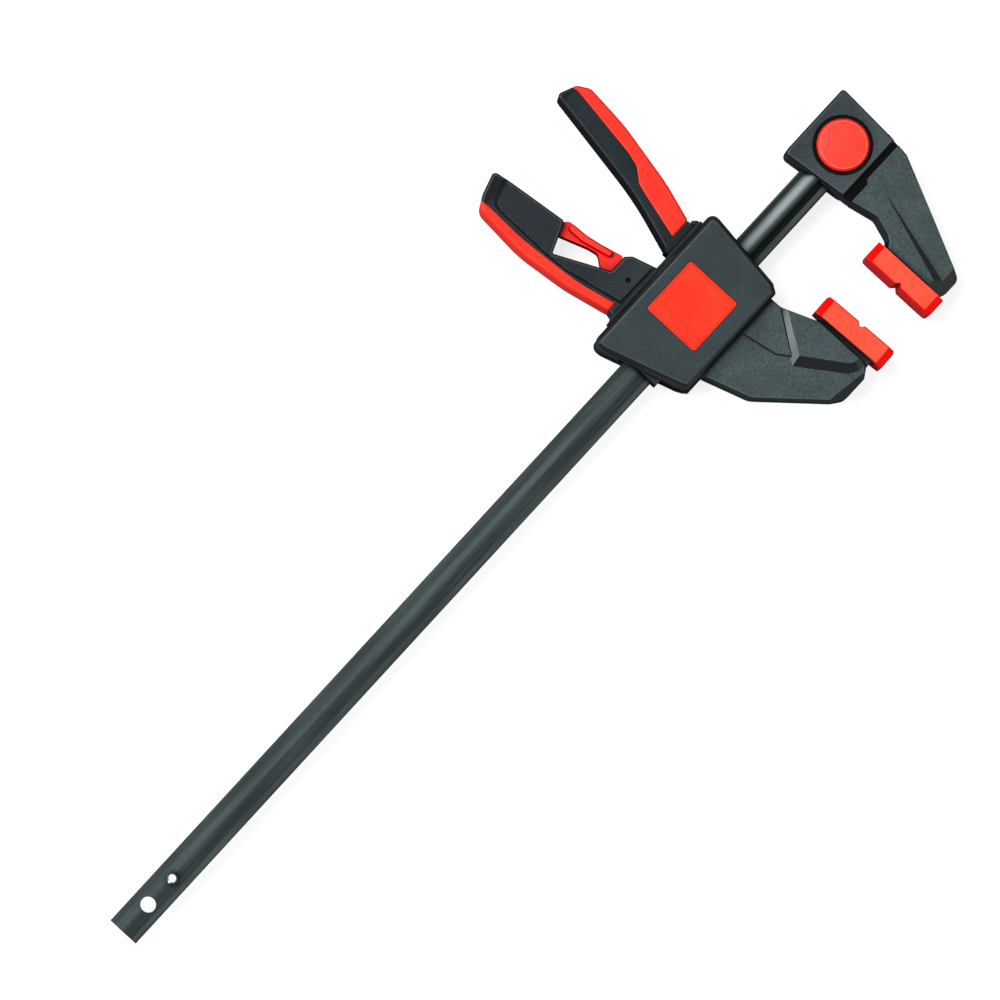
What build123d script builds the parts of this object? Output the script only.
from build123d import *
import os
from math import cos, radians, sin, sqrt, tan

# Quick release bar clamp, one-handed, 300 mm between the pads and 60 mm deep.
# Frame: origin at the centre of the hang hole near the rail's tail. +X runs along
# the rail to the fixed head, +Y points to the handles, -Y to the jaw tips, and
# +Z is the clamp's thickness, towards the side with the lock button.
# All sizes are in millimetres.

# ---- rail: hollow rolled steel bar with a rounded hump on each flat face
rail_width = 14.0            # across the two flat flanges
rail_flange = 4.8            # thickness of a flange
rail_hump = 7.8              # thickness over the humps
rail_hump_width = 8.6
rail_corner = 0.6
rail_wall = 2.4              # wall over the hollow core
rail_core_width = 7.0        # the core widens the bar's middle into the humps
rail_hole_d = 6.5            # hang hole and lock hole
hole_pitch = 420.0           # from the hang hole to the lock hole
tail_reach = 15.0            # rail beyond the hang hole
head_reach = 12.5            # rail beyond the lock hole
rail_fit = 0.10              # running clearance of what rides on the rail

# ---- stop pin: slotted spring pin that keeps the carriage on the rail
stop_pin_x = 14.5
stop_pin_d = 5.0
stop_pin_wall = 0.8
stop_pin_length = 14.0
stop_pin_slot = 1.1

# ---- soft pads, the same moulding on both jaws
pad_thick = 8.6
pad_length = 35.6
pad_half = 11.5              # half width of a pad
pad_end_bevel = 0.8
pad_side_bevel = 3.2
pad_side_drop = 1.6
pad_notch = 1.7              # vee across the face, for round work
jaw_depth = 72.4             # from the rail's axis to the pads' tips
pad_nose_depth = 3.6         # how far the jaw's nose reaches into a pad
pad_nose_length = 26.0
pad_nose_half = 6.6
pad_fit = 0.05
pad_toe = 2.0                # lean of the moving pad, so the tips meet first

# ---- head: fixed jaw, locked on the rail's end
head_half = 10.5
head_top = 16.6
head_bottom = 13.3
head_left = 18.8             # upper left corner, from the lock hole
head_right = 17.6
head_rake = 3.3              # how much the left face leans in by the bottom
head_right_rake = 1.6
head_edge = 1.2
head_groove = 2.6            # shadow groove between the block and the arm
head_groove_floor = 7.0      # half thickness left at the groove's floor
head_arm_half = 9.6          # half thickness of the arm beside the pad
head_arm_fall = 2.6          # how far the outer web falls away by the tip
head_tip_bevel = 4.4         # length of the bevel across the tip
head_tip = 1.0               # the pads reach beyond the arm's tip by this
head_back = 19.2             # jaw face that carries the pad, left of the hole
head_wall = 1.6              # floor behind the lock

# ---- head lock: red button on a sprung steel slide with a hollow pin
button_r = 10.9
button_gap = 0.3
button_ring_r = 12.5
button_y = 0.9               # the button sits this much above the hole
button_ring_depth = 1.1
button_rim = 4.4             # straight side of the button
button_dome = 0.8
button_edge = 1.5
lock_stroke = 2.4
lock_pin_fit = 0.10
lock_engage = 2.1            # pin's reach into the rail
lock_bar = 2.0               # bar that carries the pin
lock_top_bar = 1.6
lock_half_x = 4.0
lock_side = 1.7
lock_play = 0.3
lock_spring_wire = 0.5
lock_spring_turns = 5.0
lock_pin_wall = 0.95

# ---- carriage housing, measured from the trigger's pivot
rest_opening = 21.0          # between the pads as drawn
housing_top = 21.5
housing_bottom = 20.1
housing_rear = 55.3
housing_front = 16.9
housing_rear_rake = 10.2     # how far the rear face leans in by the bottom
housing_front_rake = 4.5
housing_side = 16.4          # height below the axis where the lower corners start
housing_corner = 3.2
cover_edge = 2.8             # rounding of the covers' outer rim
cover_wall = 2.2
cover_lip = 1.5              # inner layer of each cover, seen as a second edge
cover_lip_rise = 1.4
frame_half = 10.5            # half thickness of the frame between the covers
cover_rise = 5.5             # how far a cover stands out from the frame
frame_inset = 0.8
peg_r = 1.6
peg_depth = 5.5
peg_fit = 0.05
label_x = -17.2              # sunk field on the front cover
label_y = 1.6
label_width = 27.0
label_height = 26.6
label_sink = 0.4

# ---- trigger: lever on two steel pins, with a nose that pushes the drive plates
pivot_y = 1.0
pivot_r = 2.0
pivot_fit = 0.05
trigger_swing = 18.0
nose_arm = 9.5               # nose centre from the pivot
nose_r = 2.6
nose_gap = 0.09
fork_inner = 8.0
fork_outer = 12.5
fork_eye = 5.0
fork_reach = 17.3
neck_inset = 0.3
grip_proud = 0.3             # the soft strips stand out from the frame by this
grip_wall = 2.2
grip_depth = 3.0             # how deep the strips' side walls reach
grip_fit = 0.05

# ---- drive plates and springs
plate_half = 7.6             # half width of the drive and brake plates
plate_fit = 0.35
plate_top = 12.4
plate_bottom = 12.0
drive_thick = 2.5
drive_gap = 0.2
spring_wire = 1.4
spring_inner_r = 8.25
drive_spring_length = 10.4
drive_spring_turns = 3.0
brake_spring_length = 15.9
brake_spring_turns = 4.0
spring_gap = 0.1

# ---- brake plate: canted on the rail, rocks on a rib of the bulkhead
brake_thick = 3.0
brake_cant = 5.0
brake_grip_gap = 0.10
brake_top = 12.5             # plate above the rib
brake_bottom = 22.5          # plate below the rib
fulcrum_y = 10.5
fulcrum_gap = 0.05
fulcrum_rib = 2.65
fulcrum_tip_r = 0.6
bulkhead_thick = 2.7

# ---- chamber of the frame
chamber_bottom = 14.5
brake_room_top = 16.5
drive_room_top = 14.0
chamber_front = 8.0
neck_slot_rear = 14.6

# ---- bushes that guide the rail
bush_half_y = 9.2
bush_half_z = 7.4
bush_fit = 0.05
rear_bush_face = 50.4
front_bush_face = 13.4

# ---- handles
handle_height = 98.9         # top of the fixed handle, above the rail's axis
trigger_rise = 2.4           # the trigger's tip stands this much higher

# ---- release lever, on a pin in the handle's root
release_x = -26.6
release_y = 28.0
release_pin_r = 1.25
release_pin_fit = 0.05
release_pin_sink = 2.5       # the pin's ends lie this deep in the root
release_half = 5.0
release_pad_half = 8.0
release_play = 0.6
release_swing = 8.0
release_nose_r = 1.8
release_nose_y = 21.3
release_gap = 0.1
release_hub_r = 4.0

# ---- moving jaw arm
arm_low = 8.4
arm_mid = 0.7                # first raised field
arm_high = 2.0               # second raised field, beside the pad
arm_tip_bevel = 3.4          # length of the bevel across the tip
arm_edge = 1.3

# ---- places that follow from the sizes above
pad_y = pad_length / 2 - jaw_depth
head_tip_y = head_tip - jaw_depth
housing_half = frame_half + cover_rise
neck_half = frame_half - neck_inset
grip_half = frame_half + grip_proud
grip_core_half = frame_half - grip_depth
release_pin_length = 2 * (frame_half - release_pin_sink)
rail_length = tail_reach + hole_pitch + head_reach
head_face_x = hole_pitch - head_back - pad_thick
carriage_pad_back = 16.6
carriage_x = head_face_x - rest_opening - pad_thick - carriage_pad_back
nose_lead = trigger_swing / 2
nose_x = nose_arm * sin(radians(nose_lead))
nose_y = pivot_y + nose_arm * cos(radians(nose_lead))
drive_front_x = nose_x - nose_r - nose_gap
drive_rear_x = drive_front_x - 2 * drive_thick - drive_gap
bulkhead_front_x = drive_rear_x - drive_spring_length - 2 * spring_gap
bulkhead_rear_x = bulkhead_front_x - bulkhead_thick
fulcrum_x = bulkhead_rear_x - fulcrum_rib - fulcrum_gap
rear_wall_x = fulcrum_x - brake_thick - brake_spring_length - 2 * spring_gap
cover_inner = housing_half - cover_wall
spring_mean_r = spring_inner_r + spring_wire / 2
lock_top = rail_hump / 2 + lock_play + lock_stroke
lock_bottom = rail_hump / 2 + lock_play
lock_pin_r = rail_hole_d / 2 - lock_pin_fit
lock_pin_top = -rail_hump / 2 + lock_engage
button_base = lock_top + lock_top_bar


def flat(points, radii=0.0):
    """Closed flat outline over its corners, with one radius or one per corner."""
    return make_face(FilletPolyline(*points, radius=radii, close=True))


def slab(face, low, high):
    """A flat outline raised from one height to another."""
    return extrude(Pos(0, 0, low) * face, high - low)


def centred(face, half):
    """A flat outline made as thick on both sides of the middle plane."""
    return slab(face, -half, half)


def round_rim(part, radius, *levels):
    """Round the edges that lie at the given heights."""
    for z in levels:
        rim = part.edges().filter_by_position(Axis.Z, z - 0.01, z + 0.01)
        part = fillet(rim, radius)
    return part


def block(x0, x1, y0, y1, z0, z1):
    """A plain box between two corners."""
    middle = Pos((x0 + x1) / 2, (y0 + y1) / 2, (z0 + z1) / 2)
    return middle * Box(abs(x1 - x0), abs(y1 - y0), abs(z1 - z0))


def post(x, y, r, z0, z1):
    """An upright cylinder."""
    return Pos(x, y, (z0 + z1) / 2) * Cylinder(r, z1 - z0)


def coil(x0, length, mean_r, wire, turns):
    """A compression spring along the rail, starting at x0."""
    rise = length - wire
    path = Helix(pitch=rise / turns, height=rise, radius=mean_r)
    section = Plane(path @ 0, z_dir=path % 0) * Circle(wire / 2)
    return Pos(x0 + wire / 2, 0, 0) * Rot(0, 90, 0) * sweep(section, path)


def rail_section(grow=0.0):
    """Section of the rail: two flat flanges and a hump on each face."""
    w = rail_width / 2 + grow
    t = rail_flange / 2 + grow
    b = rail_hump_width / 2 + grow
    h = rail_hump / 2 + grow
    right = Polyline((b, -t), (w, -t), (w, t), (b, t))
    over = ThreePointArc((b, t), (0, h), (-b, t))
    left = Polyline((-b, t), (-w, t), (-w, -t), (-b, -t))
    under = ThreePointArc((-b, -t), (0, -h), (b, -t))
    face = make_face(Curve() + [right, over, left, under])
    corners = face.vertices().filter_by(lambda v: abs(v.X) > w - 0.01)
    return fillet(corners, rail_corner)


def rail_space(x0, x1, grow):
    """The rail's outer form between two places, grown by a clearance."""
    return extrude(Plane.YZ.offset(x0) * rail_section(grow), x1 - x0)


def make_rail():
    """Rolled bar with a hollow core, two round holes and the stop pin's hole."""
    bar = rail_space(-tail_reach, rail_length - tail_reach, 0.0)
    core = Ellipse(rail_core_width / 2, rail_hump / 2 - rail_wall)
    bar -= extrude(Plane.YZ.offset(-tail_reach) * core, rail_length)
    for x in (0.0, hole_pitch):
        bar -= post(x, 0, rail_hole_d / 2, -rail_hump, rail_hump)
    bar -= post(stop_pin_x, 0, stop_pin_d / 2, -rail_hump, rail_hump)
    return bar


def make_stop_pin():
    """Slotted spring pin, with chamfered ends, standing out on both faces."""
    pin = Cylinder(stop_pin_d / 2, stop_pin_length)
    pin = chamfer(pin.edges().filter_by(GeomType.CIRCLE), 0.4)
    pin -= Cylinder(stop_pin_d / 2 - stop_pin_wall, stop_pin_length)
    pin -= block(-stop_pin_d, 0, -stop_pin_slot / 2, stop_pin_slot / 2, -stop_pin_length, stop_pin_length)
    return Pos(stop_pin_x, 0, 0) * pin


def pad_nose(grow, root):
    """Nose of a jaw that a pad slips over, from inside the jaw to its end."""
    half_y = pad_nose_length / 2 + grow
    half_z = pad_nose_half + grow
    nose = block(-root, pad_nose_depth + grow, -half_y, half_y, -half_z, half_z)
    return chamfer(nose.faces().sort_by(Axis.X)[-1].edges(), 0.6)


def make_pad():
    """Soft pad: bevelled block with a vee across its face and a pocket behind."""
    end = pad_length / 2
    flank = end - pad_end_bevel
    face = flat(
        [(0, -end), (pad_thick - pad_end_bevel, -end), (pad_thick, -flank), (pad_thick, flank),
         (pad_thick - pad_end_bevel, end), (0, end)],
        [0.8, 1.0, 1.0, 1.0, 1.0, 0.8],
    )
    pad = centred(face, pad_half)
    for z in (-pad_half, pad_half):
        rim = pad.edges().filter_by_position(Axis.Z, z - 0.01, z + 0.01)
        pad = chamfer(rim.filter_by_position(Axis.X, 0.01, pad_thick + 1), 0.8)
    slope = pad_side_drop / pad_side_bevel
    bevel = flat([(end - pad_side_bevel, pad_half), (end + 2, pad_half - pad_side_drop - 2 * slope),
                  (end + 2, pad_half + 2), (end - pad_side_bevel, pad_half + 2)])
    tool = extrude(Plane.YZ.offset(-1) * bevel, pad_thick + 2)
    for cutter in (tool, mirror(tool, Plane.XY)):
        pad = pad - cutter - mirror(cutter, Plane.XZ)
    vee = flat([(pad_thick - pad_notch, 0), (pad_thick + 1, -pad_notch - 1), (pad_thick + 1, pad_notch + 1)])
    pad -= centred(vee, pad_half + 1)
    pad -= pad_nose(pad_fit, 1.0)
    return pad


def head_pad_place():
    """The fixed pad faces the tail: its back sits on the head's jaw face."""
    return Pos(hole_pitch - head_back, pad_y, 0) * Rot(0, 180, 0)


def above(point, fall, slope):
    """All space above a sloping plane: through a point, falling one way in plan."""
    turn = sqrt(fall[0] ** 2 + fall[1] ** 2)
    down = Vector(fall[0] / turn, fall[1] / turn, -slope)
    across = Vector(-fall[1] / turn, fall[0] / turn, 0)
    plane = Plane(origin=point, x_dir=down, z_dir=down.cross(across))
    return plane * Pos(0, 0, 100) * Box(400, 400, 200)


def both_sides(part, tool):
    """Cut a tool and its mirror image from the two faces of a part."""
    return part - tool - mirror(tool, Plane.XY)


def make_head():
    """Fixed jaw: block round the rail's end, arm, nose, lock pocket and socket."""
    outline = flat(
        [(-head_left, head_top), (head_right, head_top), (head_right - head_right_rake, -head_bottom),
         (-head_left + head_rake, -head_bottom)],
        [2.6, 1.6, 1.6, 1.6],
    )
    body = round_rim(centred(outline, head_half), head_edge, -head_half, head_half)
    arm = flat(
        [(-15.6, -10), (16.4, -10), (15.1, -21.0), (-8.1, head_tip_y), (-15.5, head_tip_y),
         (-head_back, head_tip_y + 1.6), (-head_back, pad_y + 13.8), (-15.6, pad_y + 15.4), (-12.4, -29.3),
         (-15.2, -16.0)],
        [0, 0, 3.5, 3.0, 3.0, 1.3, 1.3, 4.0, 3.0, 3.0],
    )
    high = head_arm_half
    web = round_rim(centred(arm, high), 1.0, -high, high)
    # the outer web falls away to the tip, with a ramp up to the web beside the pad
    run = -head_tip_y - 25.0
    outer = above((2.0, -25.0, high), (-0.42, -0.91), head_arm_fall / run)
    outer &= above((-4.4, -30.5, high), (0.948, -0.319), 0.75)
    web = both_sides(web, outer)
    tip = above((-10.0, head_tip_y + head_tip_bevel, high - head_arm_fall), (0, -1), 0.8)
    body += both_sides(web, tip)
    # shadow groove under the block, where the arm starts; wider on the pad's side
    floor = -head_bottom - head_groove
    groove = flat([(-30, -head_bottom), (30, -head_bottom), (30, floor), (-3.5, floor), (-5.0, floor - 1.5),
                   (-30, floor - 1.5)])
    body = both_sides(body, slab(groove, head_groove_floor, 20))
    body += Pos(-head_back, pad_y, 0) * Rot(0, 180, 0) * pad_nose(0.0, 4.0)
    # rail socket, open to the left, relieved where a stop pin would enter
    body -= rail_space(-40, head_reach + 0.3, rail_fit)
    relief = stop_pin_length / 2 + 0.4
    body -= block(-40, -stop_pin_x + stop_pin_d / 2 + 0.4, -3.0, 3.0, -relief, relief)
    # button pocket with a ring round it, and the slide's well
    pocket = button_base - lock_stroke
    body -= post(0, button_y, button_r + button_gap, pocket, head_half + 5)
    body -= post(0, button_y, button_ring_r, head_half - button_ring_depth, head_half + 5)
    well_y = rail_width / 2 + 0.9 + lock_side + lock_play
    well_x = lock_half_x + lock_play
    body -= block(-well_x, well_x, -well_y, well_y, -head_half + head_wall, head_half)
    return body


def make_lock_slide():
    """Steel window frame round the rail, with a hollow pin into the rail's hole."""
    inner = rail_width / 2 + 0.9
    outer = inner + lock_side
    low = lock_bottom + lock_bar
    frame = block(-lock_half_x, lock_half_x, -outer, outer, -low, lock_top + lock_top_bar)
    frame -= block(-9, 9, -inner, inner, -lock_bottom, lock_top)
    frame += post(0, 0, lock_pin_r, -low, lock_pin_top)
    frame -= post(0, 0, lock_pin_r - lock_pin_wall, -low - 1, lock_pin_top - 0.8)
    return frame


def make_lock_button():
    """Round button with a low dome, standing on the slide."""
    top = button_base + button_rim
    sweep_r = (button_r ** 2 + button_dome ** 2) / (2 * button_dome)
    middle = button_r / 2
    middle_z = top + button_dome - sweep_r + sqrt(sweep_r ** 2 - middle ** 2)
    dome = ThreePointArc((button_r, top), (middle, middle_z), (0, top + button_dome))
    side = Polyline((0, top + button_dome), (0, button_base), (button_r, button_base), (button_r, top))
    face = make_face(Curve() + [side, dome])
    button = revolve(Plane.XZ * face, Axis.Z)
    edge = button.edges().filter_by_position(Axis.Z, top - 0.01, top + 0.01)
    return Pos(0, button_y, 0) * fillet(edge, button_edge)


def make_lock_spring():
    """Small spring inside the hollow pin, seated on the head's back wall."""
    floor = -head_half + head_wall + 0.05
    length = (lock_pin_top - 0.8) - floor - 0.05
    mean = lock_pin_r - lock_pin_wall - 0.25 - lock_spring_wire / 2
    rise = length - lock_spring_wire
    path = Helix(pitch=rise / lock_spring_turns, height=rise, radius=mean)
    section = Plane(path @ 0, z_dir=path % 0) * Circle(lock_spring_wire / 2)
    return Pos(0, 0, floor + lock_spring_wire / 2) * sweep(section, path)


def housing_face():
    """Side view of the carriage housing, in front of the trigger's pivot and behind."""
    low = -housing_bottom
    return flat(
        [(-housing_rear, housing_top), (housing_front, housing_top),
         (housing_front, housing_top - 4.0), (housing_front - housing_front_rake, -housing_side),
         (housing_front - housing_front_rake - 2.4, low), (-housing_rear + housing_rear_rake + 1.7, low),
         (-housing_rear + housing_rear_rake, -housing_side), (-housing_rear, housing_side)],
        [housing_corner, housing_corner, 2.5, 2.5, 1.5, 2.0, 2.5, 4.0],
    )


def lip_face():
    """Inner layer of a cover: a little taller between the handles."""
    top = housing_top + cover_lip_rise
    strip = flat([(-44.4, 10), (-44.4, top), (11.3, top), (11.3, 10)], [0, 0.8, 0.8, 0])
    toe = flat(
        [(-45.3, -10), (-45.3, -housing_side), (-42.6, -housing_bottom - 0.9), (-33.5, -housing_bottom - 0.9),
         (-33.5, -10)],
        [0, 1.5, 1.0, 0.4, 0],
    )
    return housing_face() + strip + toe


def peg_places():
    """Where each cover is pegged to the frame."""
    low = -(chamber_bottom + housing_bottom) / 2 + 0.3
    return [(-49.3, 14.6), (11.8, 15.4), (-38.0, low), (5.5, low)]


def make_cover():
    """Side cover: a cap with rounded rim, pegs and a boss for the trigger's pin."""
    cap = slab(housing_face(), frame_half, housing_half)
    cap = round_rim(cap, cover_edge, housing_half)
    cap += slab(lip_face(), frame_half, frame_half + cover_lip)
    hollow = offset(housing_face(), -cover_wall)
    cap -= slab(hollow, frame_half - 1, cover_inner)
    for x, y in peg_places():
        cap += post(x, y, peg_r, frame_half - peg_depth, cover_inner + 0.5)
    cap += post(0, pivot_y, pivot_r + 2.2, fork_outer + 0.3, cover_inner + 0.5)
    cap -= post(0, pivot_y, pivot_r, fork_outer, housing_half - 1.0)
    return cap


def make_front_cover():
    """The cover with the sunk field for a label."""
    field = Pos(label_x, label_y) * RectangleRounded(label_width, label_height, 1.5)
    return make_cover() - slab(field, housing_half - label_sink, housing_half + 1)


def make_pivot_pin():
    """Steel pin between a fork leg and its cover."""
    pin = post(0, pivot_y, pivot_r, fork_inner, housing_half - 1.0)
    return chamfer(pin.edges().filter_by(GeomType.CIRCLE), 0.3)


def handle_face():
    """Side view of the fixed handle with its root, window and lobe."""
    top = handle_height
    return flat(
        [(-44.3, 12), (-41.3, 25.2), (-45.8, 45.4), (-48.3, 68.0), (-46.6, top - 6.3), (-40.6, top - 3.1),
         (-30.6, top), (-29.4, top - 7.2), (-26.1, 63.7), (-39.3, 58.3), (-30.0, 39.2), (-28.4, 35.8),
         (-20.4, 35.8), (-18.0, 33.4), (-14.8, 22.8), (-14.8, 12)],
        [0, 0, 60.0, 60.0, 5.0, 5.0, 1.8, 0, 1.8, 0.6, 1.5, 1.5, 0, 2.0, 0, 0],
    )


def handle_band():
    """Where the handle's soft strip lies: everything outside its border line."""
    top = handle_height
    return flat(
        [(-60, top + 12), (-42.2, top + 12), (-42.8, top - 8.0), (-43.4, 72.0), (-41.2, 43.0), (-37.1, 25.4), (-60, 25.4)],
        [0, 0, 0, 90.0, 90.0, 0, 0],
    )


def trigger_face():
    """Side view of the trigger's blade, above the frame."""
    top = handle_height + trigger_rise
    return flat(
        [(-7.3, 20.0), (-7.3, 24.0), (0.9, 49.0), (9.8, top), (18.3, top - 3.6), (21.3, top - 8.9), (19.4, 72.0),
         (13.5, 43.5), (8.0, 25.8), (7.7, 20.0)],
        [0, 2.0, 150.0, 1.8, 3.5, 4.0, 80.0, 80.0, 0, 0],
    )


def trigger_band():
    """Where the trigger's soft strip lies: wide below and narrow above."""
    top = handle_height + trigger_rise
    return flat(
        [(17.4, top + 10), (16.4, top - 8.6), (12.0, 63.0), (10.4, 57.2), (5.6, 51.4), (4.0, 46.0), (-1.1, 26.6),
         (40, 26.6), (40, top + 10)],
        [0, 30.0, 8.0, 4.0, 2.5, 3.0, 0, 0, 0],
    )


def soft_grip(whole, band):
    """Soft strip as a channel over a rib of the hard part under it."""
    strip = round_rim(centred(whole, grip_half), 1.1, -grip_half, grip_half)
    strip -= centred(Rectangle(3 * handle_height, 3 * handle_height) - band, 2 * grip_half)
    rib = offset(whole, -grip_wall + grip_fit)
    return strip - centred(rib, grip_core_half + grip_fit)


def hard_core(whole, band, half, edge):
    """Hard part under a soft strip: full beside it, a narrower rib beneath it."""
    core = round_rim(centred(whole, half), edge, -half, half)
    core -= centred(band, 2 * half)
    return core + centred(offset(whole, -grip_wall), grip_core_half)


def brake_corner(y):
    """Side-on line of the brake plate's window at a height measured from the rib."""
    return y / cos(radians(brake_cant))


def make_frame():
    """Jaw body: chamber round the mechanism, jaw arm and fixed handle in one."""
    core = offset(housing_face(), -frame_inset)
    body = centred(core, frame_half)
    body += hard_core(handle_face(), handle_band(), frame_half, 1.2)
    # lug that the trigger rests against
    lug = flat([(chamber_front + 0.3, 15), (chamber_front + 0.3, 25.4), (9.2, 25.4), (10.8, 23.8), (11.0, 15)])
    body += centred(lug, frame_half - 0.5)
    body += make_arm()
    # rooms for the brake and for the drive, open to both covers
    body -= block(rear_wall_x, bulkhead_rear_x, -chamber_bottom, brake_room_top, -30, 30)
    body -= block(bulkhead_front_x, chamber_front, -chamber_bottom, drive_room_top, -30, 30)
    body -= block(-neck_slot_rear, chamber_front, 0, 40, -30, 30)
    # rail passage in the bulkhead, bush pockets in the end walls
    body -= block(bulkhead_rear_x - 1, bulkhead_front_x + 1, -7.6, 7.6, -4.5, 4.5)
    pocket_y = bush_half_y + bush_fit
    pocket_z = bush_half_z + bush_fit
    body -= block(-housing_rear - 5, rear_wall_x + 1, -pocket_y, pocket_y, -pocket_z, pocket_z)
    body -= block(chamber_front - 1, housing_front + 5, -pocket_y, pocket_y, -pocket_z, pocket_z)
    # rib that the brake plate rocks on
    rib_x = fulcrum_x + fulcrum_gap + fulcrum_tip_r
    rib = block(rib_x, bulkhead_rear_x + 0.5, fulcrum_y - fulcrum_tip_r, fulcrum_y + fulcrum_tip_r,
                -plate_half, plate_half)
    body += rib + Pos(rib_x, fulcrum_y, 0) * Cylinder(fulcrum_tip_r, 2 * plate_half)
    # slot for the top of the brake plate, and slots for the release lever
    slot_half = plate_half + release_play
    body -= block(fulcrum_x - brake_thick - 2.0, fulcrum_x + 0.8, brake_room_top - 1,
                  fulcrum_y + brake_top + 0.8, -slot_half, slot_half)
    lever_half = release_half + release_play
    well = flat([(-32.6, 15), (-20.8, 15), (-20.8, 33.0), (-16.0, 40.0), (-28.0, 42.0), (-32.6, 42.0)])
    body -= centred(well, lever_half)
    notch = flat([(-39.0, 56), (-38.2, 60.6), (-31.0, 65.3), (-22.0, 66.4), (-22.0, 56)])
    body -= centred(notch, lever_half)
    body -= post(release_x, release_y, release_pin_r, -30, 30)
    for x, y in peg_places():
        for low, high in ((-20, peg_depth - frame_half + 0.2), (frame_half - peg_depth - 0.2, 20)):
            body -= post(x, y, peg_r + peg_fit, low, high)
    # border groove round the handle's side panel: wide under the end cap, then narrow
    top = handle_height
    cap = trace(Polyline((-26.0, top - 5.0), (-38.2, top - 8.6), (-40.3, top - 10.0), (-41.1, top - 12.8)), 1.8)
    side = trace(Polyline((-41.1, top - 12.0), (-41.4, 60.4), (-40.8, 49.8), (-35.4, 24.2), (-15.0, 24.0)), 1.0)
    for groove in (cap, side):
        body = both_sides(body, slab(groove, frame_half - 0.9, 20))
    return body


def arm_face():
    """Side view of the moving jaw's arm."""
    return flat(
        [(-36.0, -12), (8.0, -12), (8.0, -25.2), (14.4, pad_y + 13.6), (14.4, pad_y - 12.4),
         (9.4, pad_y - 15.7), (-2.2, pad_y - 15.7), (-6.4, pad_y - 12.4), (-28.3, -41.6), (-34.8, -21.5)],
        [0, 0, 6.0, 1.0, 2.0, 2.0, 4.0, 6.0, 8.0, 8.0],
    )


def moving_pad_place():
    """The moving pad leans a little, so that the tips of the pads meet first."""
    return Pos(carriage_pad_back, pad_y, 0) * Rot(0, 0, pad_toe)


def make_arm():
    """Moving jaw's arm, with two raised fields on each side, neck and nose."""
    whole = arm_face()
    arm = round_rim(centred(whole, arm_low), arm_edge, -arm_low, arm_low)
    keep = centred(offset(whole, -0.6), arm_low + 10)
    middle = flat([(-12.4, -10), (-12.4, -20.5), (-9.4, -37.2), (-4.0, -45.2), (10.0, -25.0), (12.0, -10)])
    fields = extrude(Pos(0, 0, arm_low - 1) * middle, arm_mid + 1, taper=50)
    # the field beside the pad stands on a broad slope
    foot = flat([(-6.8, -45.0), (6.3, -63.9), (10.2, -66.4), (24, -66.4), (24, -12), (17.1, -12)])
    crest = flat([(-1.9, -44.2), (9.6, -61.2), (12.0, -62.8), (24, -62.8), (24, -11), (20.0, -11)])
    fields += loft([Pos(0, 0, arm_low) * foot, Pos(0, 0, arm_low + arm_high) * crest], ruled=True)
    fields &= keep
    arm += fields
    arm += mirror(fields, Plane.XY)
    tip_y = pad_y - 15.7
    arm = both_sides(arm, above((2.3, tip_y + arm_tip_bevel, arm_low), (-0.15, -0.99), 0.9))
    arm += moving_pad_place() * pad_nose(0.0, 8.0)
    return arm


def make_bush(x0, x1):
    """Guide block for the rail in an end wall of the frame."""
    bush = block(x0, x1, -bush_half_y, bush_half_y, -bush_half_z, bush_half_z)
    bush = fillet(bush.edges().filter_by(Axis.X), 1.0)
    return bush - rail_space(x0 - 1, x1 + 1, rail_fit)


def make_drive_plate(index):
    """Drive plate: steel strip with a window that follows the rail."""
    x0 = drive_rear_x + index * (drive_thick + drive_gap)
    middle = (plate_top - plate_bottom) / 2
    height = plate_top + plate_bottom
    face = Pos(middle, 0) * RectangleRounded(height, 2 * plate_half, 1.5)
    face -= rail_section(plate_fit)
    return extrude(Plane.YZ.offset(x0) * face, drive_thick)


def make_brake_plate():
    """Brake plate, canted about the rib, with its top reaching the release lever."""
    half_rail = rail_width / 2 + brake_grip_gap
    upper = -brake_corner(fulcrum_y - half_rail - brake_thick * sin(radians(brake_cant)))
    lower = -brake_corner(fulcrum_y + half_rail)
    middle = (brake_top - brake_bottom) / 2
    plate = Pos(middle, 0) * RectangleRounded(brake_top + brake_bottom, 2 * plate_half, 1.5)
    half_z = rail_hump / 2 + plate_fit + 0.15
    plate -= Pos((upper + lower) / 2, 0) * Rectangle(upper - lower, 2 * half_z)
    solid = extrude(Plane.YZ.offset(-brake_thick) * plate, brake_thick)
    return Pos(fulcrum_x, fulcrum_y, 0) * Rot(0, 0, brake_cant) * solid


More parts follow.
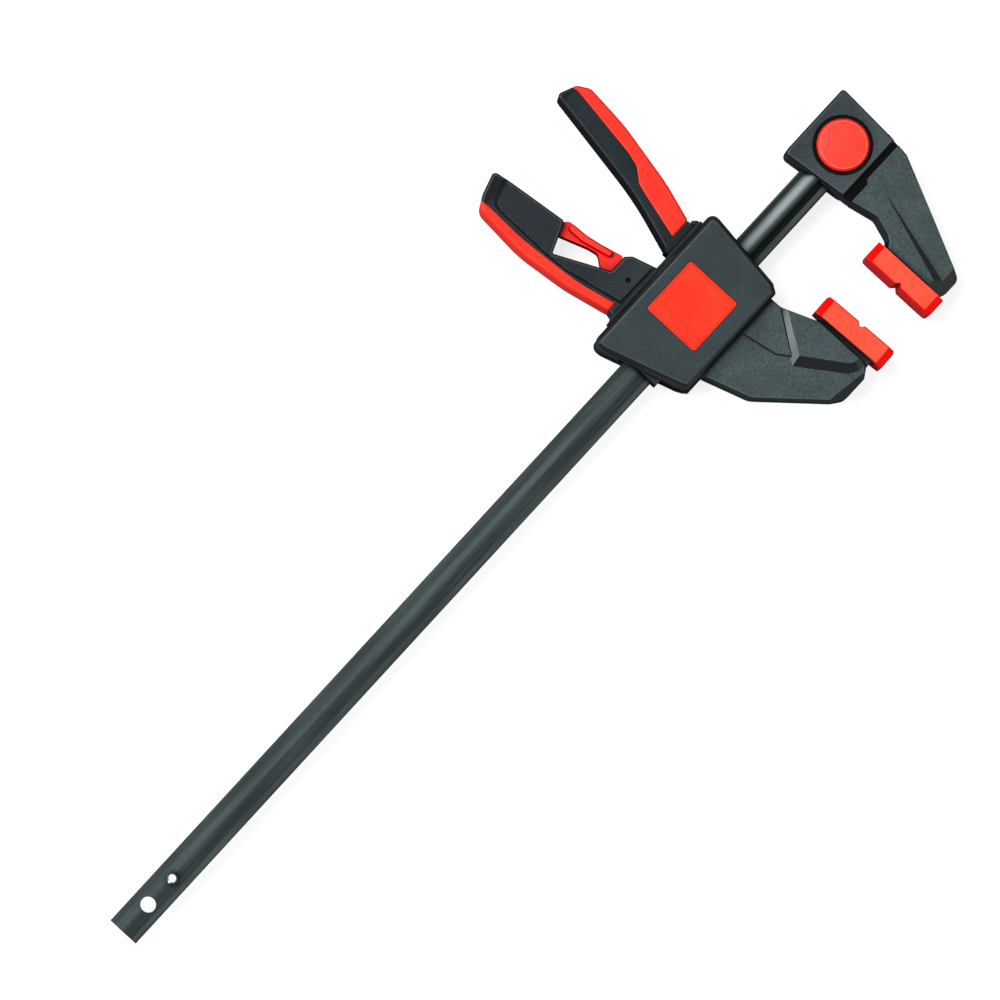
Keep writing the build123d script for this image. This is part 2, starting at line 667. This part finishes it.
def make_release_lever():
    """Release lever: finger pad, tongue on the pin, and a nose behind the plate."""
    tongue = flat(
        [(-31.6, 61.6), (-26.6, 64.4), (-24.4, 62.0), (-24.1, 52.0), (-20.2, 36.8), (-22.4, 33.0), (-22.8, 27.0),
         (-30.4, 27.0), (-30.4, 39.2), (-26.3, 44.6), (-27.2, 49.2)],
        [0.6, 1.2, 1.2, 30.0, 1.5, 3.0, 0, 0, 2.0, 3.0, 6.0],
    )
    lever = centred(tongue, release_half)
    pad = flat([(-27.5, 60.6), (-24.4, 60.8), (-24.1, 53.0), (-21.7, 40.2), (-24.4, 39.8), (-27.5, 53.0)],
               [1.3, 1.3, 20.0, 1.3, 1.3, 10.0])
    lever += round_rim(centred(pad, release_pad_half), 1.1, -release_pad_half, release_pad_half)
    hub = post(release_x, release_y, release_hub_r, -release_half, release_half)
    cant = radians(brake_cant)
    reach = release_nose_y - fulcrum_y
    plate_back = fulcrum_x - brake_thick / cos(cant) - reach * tan(cant)
    tip_x = plate_back - release_gap - release_nose_r
    arm = flat([(release_x - 3.2, release_y), (tip_x - release_nose_r, release_nose_y),
                (tip_x + release_nose_r - 0.25, release_nose_y), (tip_x + release_nose_r - 0.9, release_nose_y + 2.9),
                (release_x + 3.2, release_y)])
    lever += hub
    lever += centred(arm, release_half)
    lever += post(tip_x, release_nose_y, release_nose_r, -release_half, release_half)
    lever -= post(release_x, release_y, release_pin_r + release_pin_fit, -20, 20)
    return lever


def make_release_pin():
    """Steel pin through the handle's root."""
    half = release_pin_length / 2
    return post(release_x, release_y, release_pin_r, -half, half)


def make_trigger():
    """Trigger: blade, neck, nose and a fork that straddles the rail."""
    body = hard_core(trigger_face(), trigger_band(), neck_half, 1.2)
    neck = flat(
        [(-7.3, 25.5), (-7.3, 19.6), (-5.4, 17.0), (-0.4, 14.8), (0.2, 12.0), (0.8, 8.7), (5.2, 8.7), (7.0, 12.0),
         (7.7, 20.0), (7.9, 25.5)],
        [0, 1.5, 1.5, 0.6, 1.0, 0.6, 1.0, 4.0, 10.0, 0],
    )
    body += centred(neck, neck_half)
    body += post(nose_x, nose_y, nose_r, -neck_half, neck_half)
    leg = flat([(-4.9, pivot_y), (4.9, pivot_y), (7.4, 14), (7.4, 22), (-4.9, 22)])
    leg += Pos(0, pivot_y) * Circle(fork_eye)
    leg &= Pos(0, pivot_y) * Circle(fork_reach)
    for low, high in ((-fork_outer, -fork_inner), (fork_inner, fork_outer)):
        body += slab(leg, low, high)
    body -= post(0, pivot_y, pivot_r + pivot_fit, -20, 20)
    return body


on_head = Pos(hole_pitch, 0, 0)
on_carriage = Pos(carriage_x, 0, 0)
parts = {
    "rail": make_rail(),
    "stop_pin": make_stop_pin(),
    "head_body": on_head * make_head(),
    "fixed_pad": head_pad_place() * make_pad(),
    "lock_slide": on_head * make_lock_slide(),
    "lock_button": on_head * make_lock_button(),
    "lock_spring": on_head * make_lock_spring(),
    "jaw_body": on_carriage * make_frame(),
    "handle_grip": on_carriage * soft_grip(handle_face(), handle_band()),
    "front_cover": on_carriage * make_front_cover(),
    "rear_cover": on_carriage * mirror(make_cover(), Plane.XY),
    "front_pivot_pin": on_carriage * make_pivot_pin(),
    "rear_pivot_pin": on_carriage * mirror(make_pivot_pin(), Plane.XY),
    "movable_pad": on_carriage * moving_pad_place() * make_pad(),
    "rear_bush": on_carriage * make_bush(-rear_bush_face, rear_wall_x),
    "front_bush": on_carriage * make_bush(chamber_front, front_bush_face),
    "trigger_lever": on_carriage * make_trigger(),
    "trigger_grip": on_carriage * soft_grip(trigger_face(), trigger_band()),
    "drive_plate_rear": on_carriage * make_drive_plate(0),
    "drive_plate_front": on_carriage * make_drive_plate(1),
    "drive_spring": on_carriage
    * coil(bulkhead_front_x + spring_gap, drive_spring_length, spring_mean_r, spring_wire, drive_spring_turns),
    "brake_plate": on_carriage * make_brake_plate(),
    "brake_spring": on_carriage
    * coil(rear_wall_x + spring_gap, brake_spring_length, spring_mean_r, spring_wire, brake_spring_turns),
    "release_lever": on_carriage * make_release_lever(),
    "release_pin": on_carriage * make_release_pin(),
}

os.makedirs("parts", exist_ok=True)
for name, shape in parts.items():
    export_step(shape, "parts/" + name + ".step")
print("carriage at", round(carriage_x, 3), "rail", rail_length, "bulkhead", round(bulkhead_front_x, 2),
      round(bulkhead_rear_x, 2), "fulcrum", round(fulcrum_x, 2), "rear wall", round(rear_wall_x, 2),
      "plates", round(drive_rear_x, 2), round(drive_front_x, 2), "button base", round(button_base, 2))
